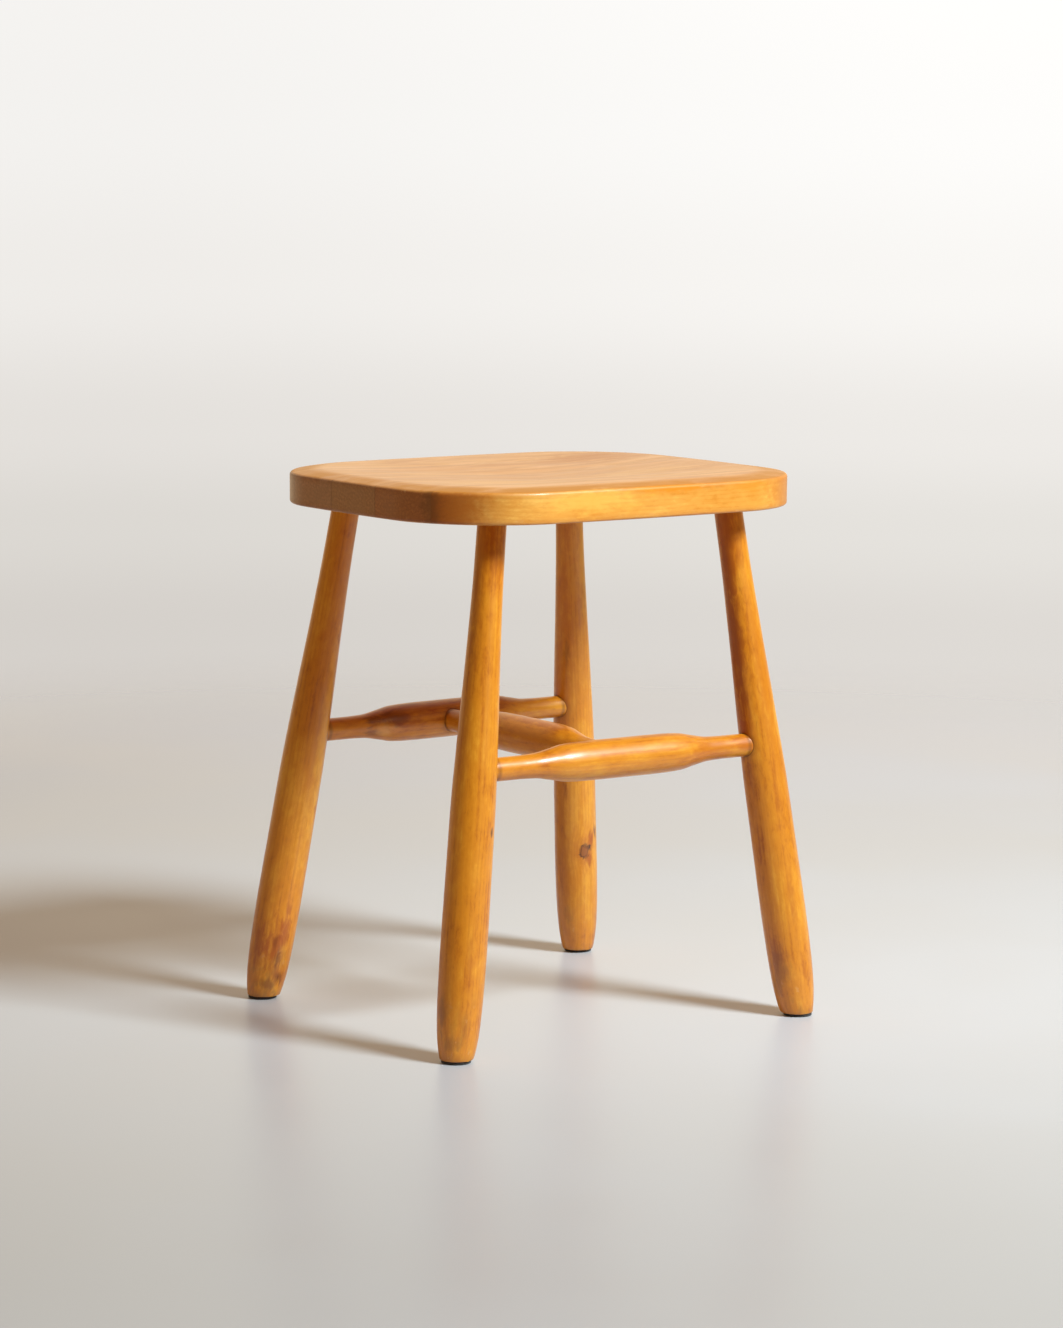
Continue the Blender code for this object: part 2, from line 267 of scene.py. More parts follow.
def wood(name, seed, light, mid, dark, end, knots=(), stains_and_painted_light=(), pith=(0.021, 0.013), along="Z", rings=0.5,
         blotch=1.0, seams=(), rough=0.38, ends_grime_and_shade=(), figure=1.0, collars=(), foot=None, painted_top_sheen=None,
         end_from=0.55, coat=0.36):
    """Varnished wood. The grain runs along the object's own axis along; knots are (point, radius, strength), the marks
    (point, (rx, ry, rz), colour, strength) real stain, dirt and figure with, on some pieces, patches of painted shade
    and painted light, collars (point, direction, radius) a thin dark line and a ring of painted shade round a bore's
    mouth, all in the object's own axes, seams the planes of its glue lines, and foot the height along Z where the
    scuffed foot ends."""
    g = Graph(name)
    coords = g.tree.nodes.new("ShaderNodeTexCoord")
    p = coords.outputs["Object"]
    apart = g.tree.nodes.new("ShaderNodeSeparateXYZ")
    g.put(apart.inputs[0], p)
    if along == "X":  # swap so that the grain always runs along Z
        c = g.tree.nodes.new("ShaderNodeCombineXYZ")
        g.put(c.inputs[0], apart.outputs[1])
        g.put(c.inputs[1], apart.outputs[2])
        g.put(c.inputs[2], apart.outputs[0])
        q = c.outputs[0]
        grain_axis = (1, 0, 0)
    else:
        q = p
        grain_axis = (0, 0, 1)
    shift = (seed * 3.17, seed * 1.71, seed * 2.39)
    at = g.vec("ADD", q, shift)

    # The trunk's rings, about a pith that lies off the piece and wanders; they part round a knot.
    wander = g.noise(g.vec("MULTIPLY", at, (9, 9, 3.2)), 1.0, 3.0, 0.55)["Color"]
    wander = g.vec("SUBTRACT", wander, (0.5, 0.5, 0.5))
    wandered = g.vec("ADD", q, g.vec("MULTIPLY", wander, (0.020, 0.020, 0.0)))
    flat = g.vec("MULTIPLY", g.vec("SUBTRACT", wandered, (*pith, 0)), (1, 1, 0))
    radius = g.vec("LENGTH", flat)
    heart, bark, halo = 0.0, 0.0, 0.0
    for point, size, strength in knots:
        d = g.vec("LENGTH", g.vec("MULTIPLY", g.vec("SUBTRACT", p, point),
                                  (1, 1, 0.72) if along == "Z" else (0.72, 1, 1)))
        radius = g.math("ADD", radius, g.ramp(d, size * 0.4, size * 4.5, size * 1.1, 0.0))
        wob = g.noise(g.vec("SCALE", at, scale=0.75 / size), 1.0, 3.0, 0.6, 0.8)[0]
        dw = g.math("ADD", d, g.math("MULTIPLY", g.math("SUBTRACT", wob, 0.5), size * 1.7))
        heart = g.math("MAXIMUM", heart, g.ramp(dw, size * 0.70, size * 1.10, strength, 0.0))
        rim = g.math("ABSOLUTE", g.math("SUBTRACT", dw, size * 0.90))
        uneven = g.math("MULTIPLY", g.ramp(wob, 0.30, 0.62, 1.0, 0.45), strength)
        bark = g.math("MAXIMUM", bark, g.math("MULTIPLY", g.ramp(rim, size * 0.06, size * 0.42, 1.0, 0.0), uneven))
        halo = g.math("MAXIMUM", halo, g.ramp(dw, size * 0.9, size * 2.6, strength * 0.55, 0.0))
    wave = g.math("SINE", g.math("MULTIPLY", radius, 2 * math.pi / 0.0034))
    wave = g.math("ADD", g.math("MULTIPLY", wave, 0.5), 0.5)
    year = g.math("POWER", wave, 2.6)

    # Fibres, long bands, mottling and the uneven take-up of the varnish.
    fine = g.noise(g.vec("MULTIPLY", at, (1050, 1050, 24)), 1.0, 2.0, 0.6)[0]
    strand = g.noise(g.vec("MULTIPLY", at, (300, 300, 6)), 1.0, 3.0, 0.6)[0]
    band = g.noise(g.vec("MULTIPLY", at, (85, 85, 2.6)), 1.0, 2.0, 0.5)[0]
    cloud = g.noise(g.vec("MULTIPLY", at, (42, 42, 19)), 1.0, 4.0, 0.60, 0.5)[0]
    broad = g.noise(g.vec("MULTIPLY", at, (14, 14, 8)), 1.0, 2.0, 0.5)[0]
    mottle = g.noise(g.vec("MULTIPLY", at, (210, 210, 95)), 1.0, 3.0, 0.65, 0.3)[0]
    flecks = g.noise(g.vec("MULTIPLY", at, (700, 700, 75)), 1.0, 1.0, 0.5)[0]
    flecks = g.ramp(flecks, 0.67, 0.78)
    tone = 0.50 + 0.07 * rings
    for texture, weight in ((fine, 0.26 * figure), (strand, 0.42 * figure), (band, 0.62 * figure),
                            (mottle, 0.72 * blotch), (cloud, 0.95 * blotch), (broad, 0.80 * blotch)):
        tone = g.math("ADD", tone, g.math("MULTIPLY", g.math("SUBTRACT", texture, 0.5), weight))
    tone = g.math("ADD", tone, g.math("MULTIPLY", year, -0.22 * rings))
    colour = g.mix(g.ramp(tone, 0.12, 0.52), dark, mid)
    colour = g.mix(g.ramp(tone, 0.48, 0.88), colour, light)
    colour = g.mix(g.math("MULTIPLY", flecks, 0.18), colour, [dark[0] * 0.66, dark[1] * 0.58, dark[2] * 0.5])

    # End grain drinks more of the finish: darker, browner, duller.
    facing = g.math("ABSOLUTE", g.vec("DOT_PRODUCT", coords.outputs["Normal"], grain_axis))
    ending = g.ramp(facing, end_from, 0.94)
    pores = g.noise(g.vec("MULTIPLY", at, (520, 520, 160)), 1.0, 2.0, 0.6)[0]
    end_colour = g.mix(g.ramp(pores, 0.35, 0.7), [c * 0.84 for c in end], [min(1, c * 1.14) for c in end])
    end_colour = g.mix(g.math("MULTIPLY", year, 0.30), end_colour, [c * 0.66 for c in end])
    end_colour = g.mix(g.ramp(cloud, 0.35, 0.7, 0.30, 0.0), end_colour, [c * 0.74 for c in end])
    colour = g.mix(ending, colour, end_colour)

    ragged = g.noise(g.vec("MULTIPLY", at, (230, 230, 75)), 1.0, 3.0, 0.6, 0.6)[0]
    ragged = g.math("ADD", g.math("MULTIPLY", g.math("SUBTRACT", ragged, 0.5), 1.9),
                    g.math("MULTIPLY", g.math("SUBTRACT", strand, 0.5), 0.5))
    # the marks of legs and rungs: real stain, dirt and figure, and on the legs also patches of painted shade and
    # painted light
    for point, size, tint, strength in stains_and_painted_light if painted_top_sheen is None else ():
        d = g.vec("LENGTH", g.vec("DIVIDE", g.vec("SUBTRACT", p, point), size))
        d = g.math("ADD", g.math("ADD", d, ragged), g.math("MULTIPLY", g.math("SUBTRACT", cloud, 0.5), 0.9))
        colour = g.mix(g.ramp(d, 0.22, 1.30, strength, 0.0), colour, tint)
    if knots:
        colour = g.mix(halo, colour, (0.46, 0.120, 0.010))
        colour = g.mix(heart, colour, (0.30, 0.088, 0.016))
        colour = g.mix(bark, colour, (0.045, 0.016, 0.009))
    for centre, span, strength in ends_grime_and_shade:  # painted shade, with grime and pooled varnish, where one piece enters another
        d = g.math("ABSOLUTE", g.math("SUBTRACT", apart.outputs[2 if along == "Z" else 0], centre))
        colour = g.mix(g.ramp(d, 0.0, span, strength, 0.0), colour, [c * 0.36 for c in dark])
    # a thin dark line at the joint's gap, and round it a soft ring of painted shade where the rung enters
    for point, direction, size in collars:
        off = g.vec("SUBTRACT", p, point)
        run = g.vec("SCALE", Vector(direction).normalized(), scale=g.vec("DOT_PRODUCT", off, Vector(direction).normalized()))
        d = g.math("SUBTRACT", g.vec("LENGTH", g.vec("SUBTRACT", off, run)), size)
        near = g.math("LESS_THAN", g.math("ABSOLUTE", g.vec("DOT_PRODUCT", off, Vector(direction).normalized())), 0.008)
        line = g.math("MAXIMUM", g.ramp(d, 0.0002, 0.0014, 0.80, 0.0), g.ramp(d, 0.0, 0.0045, 0.28, 0.0))
        line = g.math("MULTIPLY", line, g.ramp(cloud, 0.25, 0.65, 0.45, 1.0))
        colour = g.mix(g.math("MULTIPLY", line, near), colour, [c * 0.26 for c in dark])
    for plane in seams:
        d = g.math("ABSOLUTE", g.math("SUBTRACT", apart.outputs[1], plane))
        line = g.math("MULTIPLY", g.ramp(d, 0.00015, 0.0008, 0.75, 0.0), g.ramp(ending, 0.0, 1.0, 1.0, 0.55))
        line = g.math("MAXIMUM", line, g.ramp(d, 0.0, 0.004, 0.10, 0.0))
        colour = g.mix(line, colour, [c * 0.30 for c in dark])
    edge = g.tree.nodes.new("ShaderNodeAttribute")
    edge.attribute_name = "arris"
    rubbed = g.noise(g.vec("MULTIPLY", at, (330, 330, 90)), 1.0, 3.0, 0.6)[0]
    worn = g.math("MULTIPLY", edge.outputs["Fac"], g.ramp(cloud, 0.3, 0.6, 0.25, 1.0))
    colour = g.mix(g.math("MULTIPLY", worn, 0.40), colour, [dark[0] * 0.70, dark[1] * 0.58, dark[2] * 0.5])
    scuff = g.math("MULTIPLY", edge.outputs["Fac"], g.ramp(rubbed, 0.60, 0.70))
    if foot is not None:
        low = g.ramp(apart.outputs[2], foot - 0.075, foot - 0.004)
        dirt = g.math("MULTIPLY", low, g.ramp(cloud, 0.50, 0.66, 0.0, 0.62))
        colour = g.mix(dirt, colour, (0.27, 0.090, 0.016))
        nicks = g.math("MULTIPLY", low, g.ramp(g.noise(g.vec("MULTIPLY", at, (190, 190, 120)), 1.0, 3.0, 0.6)[0], 0.63, 0.70))
        scuff = g.math("MAXIMUM", scuff, nicks)
    colour = g.mix(g.math("MULTIPLY", scuff, 0.26), colour, (0.72, 0.45, 0.20))
    if painted_top_sheen is not None:  # painted sheen: the top's upward faces are painted paler and pinker, the backdrop's sheen put into the colour, with swirls of darker and paler tone; the rolled rim is painted saturated orange, where that sheen falls away
        upward = g.tree.nodes.new("ShaderNodeSeparateXYZ")
        g.put(upward.inputs[0], coords.outputs["Normal"])
        upward = g.ramp(upward.outputs[2], 0.70, 0.97)
        colour = g.mix(g.math("MULTIPLY", upward, painted_top_sheen[1]), colour, painted_top_sheen[0])
        swirl = g.noise(g.vec("MULTIPLY", at, (60, 60, 9)), 1.0, 4.0, 0.6, 1.2)[0]
        colour = g.mix(g.math("MULTIPLY", upward, g.ramp(swirl, 0.48, 0.64, 0.0, 0.62)), colour, (0.50, 0.165, 0.034))
        colour = g.mix(g.math("MULTIPLY", upward, g.ramp(swirl, 0.36, 0.50, 0.40, 0.0)), colour, (0.800, 0.400, 0.190))
        for point, size, tint, strength in stains_and_painted_light:
            d = g.vec("LENGTH", g.vec("DIVIDE", g.vec("SUBTRACT", p, point), size))
            d = g.math("ADD", g.math("ADD", d, ragged), g.math("MULTIPLY", g.math("SUBTRACT", cloud, 0.5), 0.9))
            colour = g.mix(g.ramp(d, 0.22, 1.30, strength, 0.0), colour, tint)
        # painted shade: the rolled rim painted a dark saturated orange, where the top's sheen falls away
        rim_layer = g.tree.nodes.new("ShaderNodeAttribute")
        rim_layer.attribute_name = "rim"
        rolled = g.math("MULTIPLY", g.math("MULTIPLY", rim_layer.outputs["Fac"], upward), g.ramp(cloud, 0.30, 0.62, 0.45, 1.0))
        colour = g.mix(g.math("MULTIPLY", rolled, 0.95), colour, (0.51, 0.178, 0.003))

    g.put(g.shader.inputs["Base Color"], colour)
    r = g.math("ADD", rough, g.math("MULTIPLY", g.math("SUBTRACT", cloud, 0.5), 0.18))
    r = g.math("ADD", r, g.math("MULTIPLY", g.math("SUBTRACT", strand, 0.5), 0.12))
    r = g.math("ADD", r, g.math("MULTIPLY", ending, 0.14))
    r = g.math("ADD", r, g.math("MULTIPLY", scuff, 0.22))
    if painted_top_sheen is not None:
        r = g.math("ADD", r, g.math("MULTIPLY", rolled, 0.26))
    r = g.math("ADD", r, g.math("MULTIPLY", worn, 0.10), clamp=True)
    g.put(g.shader.inputs["Roughness"], r)
    g.shader.inputs["IOR"].default_value = 1.48
    g.shader.inputs["Coat Weight"].default_value = coat
    g.shader.inputs["Coat Roughness"].default_value = 0.23
    g.shader.inputs["Coat IOR"].default_value = 1.5
    height = g.math("ADD", g.math("MULTIPLY", fine, 0.45), g.math("MULTIPLY", strand, 0.55))
    height = g.math("SUBTRACT", height, g.math("MULTIPLY", flecks, 0.5))
    height = g.math("SUBTRACT", height, g.math("MULTIPLY", scuff, 0.5))
    height = g.math("SUBTRACT", height, g.math("MULTIPLY", year, 0.15 * rings))
    if knots:
        height = g.math("SUBTRACT", height, g.math("MULTIPLY", bark, 0.8))
    g.put(g.shader.inputs["Normal"], g.bump(height, 0.32, 0.00020))
    return g.material


def felt(name):
    g = Graph(name)
    coords = g.tree.nodes.new("ShaderNodeTexCoord")
    p = coords.outputs["Object"]
    hair = g.noise(g.vec("SCALE", p, scale=1500), 1.0, 4.0, 0.7)[0]
    lump = g.noise(g.vec("SCALE", p, scale=260), 1.0, 3.0, 0.6)[0]
    colour = g.mix(g.ramp(hair, 0.3, 0.75), (0.010, 0.009, 0.008), (0.040, 0.034, 0.030))
    colour = g.mix(g.ramp(lump, 0.55, 0.8, 0.0, 0.5), colour, (0.060, 0.050, 0.042))
    g.put(g.shader.inputs["Base Color"], colour)
    g.put(g.shader.inputs["Roughness"], g.ramp(hair, 0.2, 0.8, 0.82, 0.98))
    g.shader.inputs["Sheen Weight"].default_value = 0.25
    g.shader.inputs["Sheen Roughness"].default_value = 0.5
    height = g.math("ADD", hair, g.math("MULTIPLY", lump, 0.6))
    g.put(g.shader.inputs["Normal"], g.bump(height, 0.9, 0.0003))
    return g.material


# ---- the colours of the finish (linear) -----------------------------------------------------------------------------------
HONEY_LIGHT = (0.750, 0.315, 0.0190)
HONEY_MID = (0.640, 0.2180, 0.0075)
HONEY_DARK = (0.455, 0.118, 0.0028)
END_BROWN = (0.36, 0.140, 0.035)
RED_BROWN = (0.37, 0.070, 0.0025)
DEEP = (0.18, 0.036, 0.002)
BARK = (0.065, 0.021, 0.008)
GRIME = (0.24, 0.080, 0.014)

# ---- seat ---------------------------------------------------------------------------------------------------------------------
ARRIS, CHAMFER = 0.0030, 0.0022
DISH = 0.0070
RIM_ROLL = 0.0024


def seat_outline(inset, count=288):
    """The seat's outline: a rounded rectangle with bowed sides, moved in by inset."""
    hx, hy, c = HALF_X - inset, HALF_Y - inset, CORNER - inset
    points = []
    straight_x, straight_y, arc = 2 * (hx - c), 2 * (hy - c), math.pi / 2 * c
    # the same share of the points on each stretch, whatever the inset
    nx, ny = int(count * 0.12), int(count * 0.09)
    na = (count - 2 * nx - 2 * ny) // 4
    stops = (
        ("arc", (hx - c, hy - c), 0, na), ("line", (-1, 0), straight_x, nx),
        ("arc", (-hx + c, hy - c), 1, na), ("line", (0, -1), straight_y, ny),
        ("arc", (-hx + c, -hy + c), 2, na), ("line", (1, 0), straight_x, nx),
        ("arc", (hx - c, -hy + c), 3, na), ("line", (0, 1), straight_y, ny),
    )
    last = None
    for kind, where, how, n in stops:
        for k in range(n):
            if kind == "arc":
                a = math.pi / 2 * (how + k / n)
                points.append((where[0] + c * math.cos(a), where[1] + c * math.sin(a)))
            else:
                points.append((last[0] + where[0] * how * k / n, last[1] + where[1] * how * k / n))
        if kind == "arc":
            a = math.pi / 2 * (how + 1)
            last = (where[0] + c * math.cos(a), where[1] + c * math.sin(a))
    out = []
    for x, y in points:
        ux, uy = min(abs(x) / hx, 1), min(abs(y) / hy, 1)
        out.append((x * (1 + BOW * (1 - uy**2) / hx), y * (1 + BOW * (1 - ux**2) / hy) + SEAT_Y))
    return out


def seat_top(x, y, s):
    """Height of the top where s runs from 0 in the middle to 1 at the arris."""
    y -= SEAT_Y
    inner = min(max((0.90 - s) / 0.90, 0.0), 1.0)
    hollow = DISH * inner**1.5 * (1.9 - 0.9 * inner)
    roll = RIM_ROLL * max(0.0, (s - 0.875) / 0.125) ** 1.7
    hand = 0.00012 * noise.noise(Vector((x * 22, y * 22, 1.7))) + 0.00005 * noise.noise(Vector((x * 9, y * 90, 4.1)))
    return SEAT_TOP - hollow - roll + hand * min(1.0, (1 - s) * 12)


def seat_blank():
    """The whole seat as one mesh, its top in many rings. The layer arris is 1 on its worn edges."""
    bm = bmesh.new()
    layer = bm.verts.layers.float.new("arris")
    rim = bm.verts.layers.float.new("rim")
    rings = []

    def ring(inset, z, scale=1.0, top=False, arris=0.0):
        made = []
        for x, y in seat_outline(inset):
            x, y = x * scale, SEAT_Y + (y - SEAT_Y) * scale
            h = seat_top(x, y, scale) if top else z
            wave = 0.00018 * noise.noise(Vector((x * 16, y * 16, h * 20 + 9)))
            d = Vector((x, y - SEAT_Y, 0)).normalized() * (0.0 if top else wave)
            v = bm.verts.new((x + d.x, y + d.y, h))
            v[layer] = arris
            v[rim] = smoothstep(0.870, 0.952, scale) if top else 1.0
            made.append(v)
        rings.append(made)

    for k in range(9):  # underside, flat
        f = k / 8
        ring(CHAMFER, UNDERSIDE, 0.45 + 0.55 * f, arris=0.0 if k < 8 else 0.6)
    for k in range(1, 5):
        a = math.pi / 2 * k / 4
        ring(CHAMFER * (1 - math.sin(a)), UNDERSIDE + CHAMFER * (1 - math.cos(a)), arris=0.8)
    side_top = SEAT_TOP - RIM_ROLL - ARRIS
    for k in range(1, 12):
        ring(0.0, UNDERSIDE + CHAMFER + (side_top - UNDERSIDE - CHAMFER) * k / 12,
             arris=max(0.0, 1 - min(k, 12 - k) / 2.0))
    for k in range(7):
        a = math.pi / 2 * k / 6
        ring(ARRIS * (1 - math.cos(a)), side_top + ARRIS * math.sin(a), arris=1.0 if 0 < k < 6 else 0.7)
    steps = [1 - 0.0055 * k for k in range(1, 24)]
    steps += [steps[-1] - 0.018 * k for k in range(1, 47)]
    for s in steps:
        if s > 0.02:
            ring(ARRIS, 0, s, top=True, arris=max(0.0, (s - 0.985) / 0.015) * 0.5)
    middle = bm.verts.new((0, SEAT_Y, seat_top(0, SEAT_Y, 0)))
    n = len(rings[0])
    for lower, upper in zip(rings, rings[1:]):
        for k in range(n):
            j = (k + 1) % n
            bm.faces.new((lower[k], lower[j], upper[j], upper[k]))
    for k in range(n):
        bm.faces.new((rings[-1][k], rings[-1][(k + 1) % n], middle))
    bm.faces.new(list(reversed(rings[0])))
    bmesh.ops.recalc_face_normals(bm, faces=bm.faces)
    return bm


BOARD_TINTS = (
    # light, mid, dark, end: each board was another plank
    dict(light=(0.840, 0.450, 0.090), mid=(0.735, 0.315, 0.046), dark=(0.640, 0.215, 0.014), end=(0.310, 0.068, 0.0016)),
    dict(light=(0.725, 0.358, 0.072), mid=(0.635, 0.278, 0.050), dark=(0.452, 0.156, 0.024), end=(0.400, 0.130, 0.030)),
    dict(light=(0.695, 0.330, 0.067), mid=(0.596, 0.252, 0.048), dark=(0.416, 0.139, 0.022), end=(0.410, 0.166, 0.050)),
    dict(light=(0.722, 0.356, 0.072), mid=(0.623, 0.269, 0.050), dark=(0.442, 0.148, 0.024), end=(0.410, 0.168, 0.062)),
    dict(light=(0.740, 0.373, 0.076), mid=(0.641, 0.286, 0.053), dark=(0.452, 0.156, 0.026), end=(0.410, 0.172, 0.064)),
)
# painted sheen of the seat's top: the colour its upward faces are painted toward, and its share
PAINTED_TOP_SHEEN = ((0.630, 0.262, 0.122), 0.42)
BOARD_STAINS_AND_SHADE = (  # boards, middle, half sizes, colour, strength: real marks, a glue line, and patches of painted shade
    ((1,), (0.011, -0.161, 0.4465), (0.042, 0.012, 0.0052), (0.74, 0.232, 0.007), 0.95),
    ((1,), (-0.060, -0.160, 0.4390), (0.050, 0.012, 0.0110), (0.94, 0.49, 0.085), 0.55),
    ((1,), (0.100, -0.159, 0.4440), (0.024, 0.010, 0.0050), (0.74, 0.26, 0.012), 0.50),
    ((1,), (0.152, -0.142, 0.4370), (0.036, 0.034, 0.0300), (0.58, 0.165, 0.004), 0.62),
    # painted shade: the front left corner darkened where the end turns toward the light
    ((1,), (-0.166, -0.124, 0.4360), (0.024, 0.022, 0.0300), (0.400, 0.108, 0.003), 0.70),
    ((1, 2), (-0.182, -0.1065, 0.4360), (0.016, 0.008, 0.0300), (0.165, 0.052, 0.0040), 0.65),
    # painted shade: the dish's far slope painted darker, where it catches less of the top's sheen
    ((4, 5), (0.118, 0.080, 0.4450), (0.062, 0.036, 0.0300), (0.46, 0.125, 0.006), 0.80),
    ((3, 4), (0.020, 0.030, 0.4430), (0.090, 0.016, 0.0300), (0.66, 0.240, 0.030), 0.45),
    ((4,), (-0.060, 0.060, 0.4430), (0.060, 0.012, 0.0300), (0.60, 0.200, 0.020), 0.40),
    ((2,), (-0.090, -0.070, 0.4450), (0.060, 0.020, 0.0200), (0.84, 0.42, 0.090), 0.35),
    ((2, 3), (0.080, -0.040, 0.4450), (0.070, 0.016, 0.0200), (0.80, 0.40, 0.110), 0.35),
)
BOARD_PITH = ((-0.012, -0.060), (0.010, 0.075), (0.025, -0.050), (-0.018, 0.085), (0.008, -0.070))
HAIR = 0.00002


def build_seat():
    blank = seat_blank()
    mortises = {leg: leg_axis(leg, UNDERSIDE) for leg in LEGS}
    boards = []
    for i in range(5):
        lo = -1.0 if i == 0 else JOINTS_Y[i - 1] + HAIR
        hi = 1.0 if i == 4 else JOINTS_Y[i] - HAIR
        bm = blank.copy()
        for at, normal in ((lo, (0, -1, 0)), (hi, (0, 1, 0))):
            if abs(at) < 0.5:
                bmesh.ops.bisect_plane(bm, geom=bm.verts[:] + bm.edges[:] + bm.faces[:], dist=1e-7,
                                       plane_co=(0, at, 0), plane_no=normal, clear_outer=True)
                loose = [e for e in bm.edges if len(e.link_faces) == 1]
                bmesh.ops.holes_fill(bm, edges=loose, sides=0)
        bmesh.ops.recalc_face_normals(bm, faces=bm.faces)
        centre = Vector((0, (max(lo, -0.160) + min(hi, 0.152)) / 2, UNDERSIDE))
        bmesh.ops.translate(bm, vec=-centre, verts=bm.verts)
        name = f"seat_plank_{i + 1}"
        board = placed(name, bm, Matrix.Translation(centre))
        for leg, top in mortises.items():
            if max(lo, -0.2) - 0.013 < top.y < min(hi, 0.2) + 0.013:
                along = (top - leg_axis(leg, 0)).normalized()
                cut(board, bore(top - along * 0.012, top + along * (LEG_TENON + 0.001), LEG_PROFILE[0][1] + 0.0002))
        board.data.shade_smooth()
        board.data.set_sharp_from_angle(angle=math.radians(38))
        tint = BOARD_TINTS[i]
        stains_and_painted_light = [(Vector(at) - centre, size, colour, strength) for on, at, size, colour, strength in BOARD_STAINS_AND_SHADE
                  if i + 1 in on]
        seams = [v - centre.y for v in JOINTS_Y if lo - 0.001 < v < hi + 0.001]
        finish = wood(f"plank_{i + 1}", 11 + i, tint["light"], tint["mid"], tint["dark"], tint["end"],
                      pith=BOARD_PITH[i], along="X", rings=0.42, blotch=0.85, seams=seams, rough=0.38,
                      stains_and_painted_light=stains_and_painted_light, figure=0.70, painted_top_sheen=PAINTED_TOP_SHEEN, end_from=0.36 if i == 0 else 0.55, coat=0.30)
        board.data.materials.clear()
        board.data.materials.append(finish)
        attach(board, "root")
        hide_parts(f"seat_board_{i + 1}")
        boards.append(board)
    blank.free()
    return boards


# ---- legs ---------------------------------------------------------------------------------------------------------------------
TOWARD = Vector((-0.583, -0.812, 0))  # the side of the stool that its front left corner shows
RIGHT = Vector((0.812, -0.583, 0))


def build_leg(name, seed, tints, knots=(), stains_and_painted_light=(), rungs=(), **finish_options):
    """A turned leg. knots and the marks, real stain and dirt with patches of painted shade and painted light, are given
    by (height above the floor, side from -1 to 1 across the front left view).
    """
    radius = sweep(LEG_PROFILE)
    top, foot = leg_axis(name, UNDERSIDE), leg_axis(name, 0)
    along = (foot - top).normalized()
    length = (foot - top).length
    matrix = axis_matrix(top, along, TOWARD)
    wobble = hand_turned(seed)
    profile = [(-LEG_TENON, 0.0101), (-LEG_TENON + 0.0015, 0.0116), (-0.004, 0.0116)]
    n = 210
    profile += [(length * k / n, radius(k / n)) for k in range(n + 1)]
    profile.append((length + 0.004, radius(1.0) - 0.001))
    bm = bmesh.new()
    turned_rings(bm, profile, 96, lambda a, z: wobble(a, z) if z > 0 else 0.0)
    # sawn level over its glide, with the saw's edge taken off
    local = matrix.inverted()
    plane = local @ Vector((foot.x, foot.y, GLIDE_T + 0.0002))
    normal = local.to_3x3() @ Vector((0, 0, -1))
    bmesh.ops.bisect_plane(bm, geom=bm.verts[:] + bm.edges[:] + bm.faces[:], dist=1e-7, plane_co=plane,
                           plane_no=normal, clear_outer=True)
    rim = [e for e in bm.edges if len(e.link_faces) == 1]
    filled = bmesh.ops.edgeloop_fill(bm, edges=rim)
    sole = filled["faces"]
    bmesh.ops.bevel(bm, geom=[e for f in sole for e in f.edges], offset=0.0011, segments=3, profile=0.5,
                    affect="EDGES")
    bmesh.ops.recalc_face_normals(bm, faces=bm.faces)
    leg = placed(name.replace("leg_", "turned_leg_"), bm, matrix)

    def on_leg(height, side):
        centre = leg_axis(name, height)
        r = radius(1 - height / UNDERSIDE)
        return local @ (centre + (TOWARD * math.sqrt(max(0, 1 - side * side)) + RIGHT * side) * r)

    here_knots = [(on_leg(h, s), size, strength) for h, s, size, strength in knots]
    here_stains_and_light = [(on_leg(h, s), size, tint, strength) for h, s, size, tint, strength in stains_and_painted_light]
    # dark rings about each rung's bore: the joint's gap with painted shade round it
    collars = []
    for rung in rungs:
        first, second = stretcher_ends(rung)
        at = first if (first - leg_axis(name, STRETCHER_Z)).length < 0.001 else second
        outward = (at - (first + second) / 2).normalized()
        collars.append((local @ (at - outward * 0.014), local.to_3x3() @ outward, TENON_R))
    # painted shade, with grime, where the leg enters the seat and where it meets its glide
    finish = wood(f"wood_{name}", seed, *tints, knots=here_knots, stains_and_painted_light=here_stains_and_light, collars=collars, foot=length,
                  ends_grime_and_shade=[(0.0, 0.006, 0.55), (length, 0.010, 0.30)], **finish_options)
    return leg, finish


def dress(piece, finish, node):
    piece.data.shade_smooth()
    piece.data.set_sharp_from_angle(angle=math.radians(38))
    piece.data.materials.clear()
    piece.data.materials.append(finish)
    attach(piece, "root")
    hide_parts(node)


def build_stretcher(name, seed):
    first, second = stretcher_ends(name)
    half = (second - first).length / 2
    middle = (first + second) / 2
    along = (second - first).normalized()
    radius = sweep(STRETCHER_PROFILE)
    end = half + PAST_AXIS
    matrix = axis_matrix(middle, along, Vector((0, 0, 1)))
    n = 75
    side = [(half * 0.98 * k / n, radius(k / n * 0.98)) for k in range(1, n + 1)]
    side += [(end - 0.0012, TENON_R), (end, TENON_R - 0.0012)]
    profile = [(-d, r) for d, r in reversed(side)] + [(0.0, radius(0))] + side
    wobble = hand_turned(seed, 0.00010)
    bm = bmesh.new()
    turned_rings(bm, profile, 80, lambda a, z: wobble(a, z) * smoothstep(0.0, 0.02, half - 0.02 - abs(z)))
    bmesh.ops.recalc_face_normals(bm, faces=bm.faces)
    return placed(name.replace("stretcher", "rung"), bm, matrix), matrix, half


def take_end(target, stretcher, at):
    first, second = stretcher_ends(stretcher)
    outward = (at - (first + second) / 2).normalized()
    cut(target, bore(at - outward * 0.045, at + outward * (PAST_AXIS + 0.001), TENON_R + 0.00015, 72))


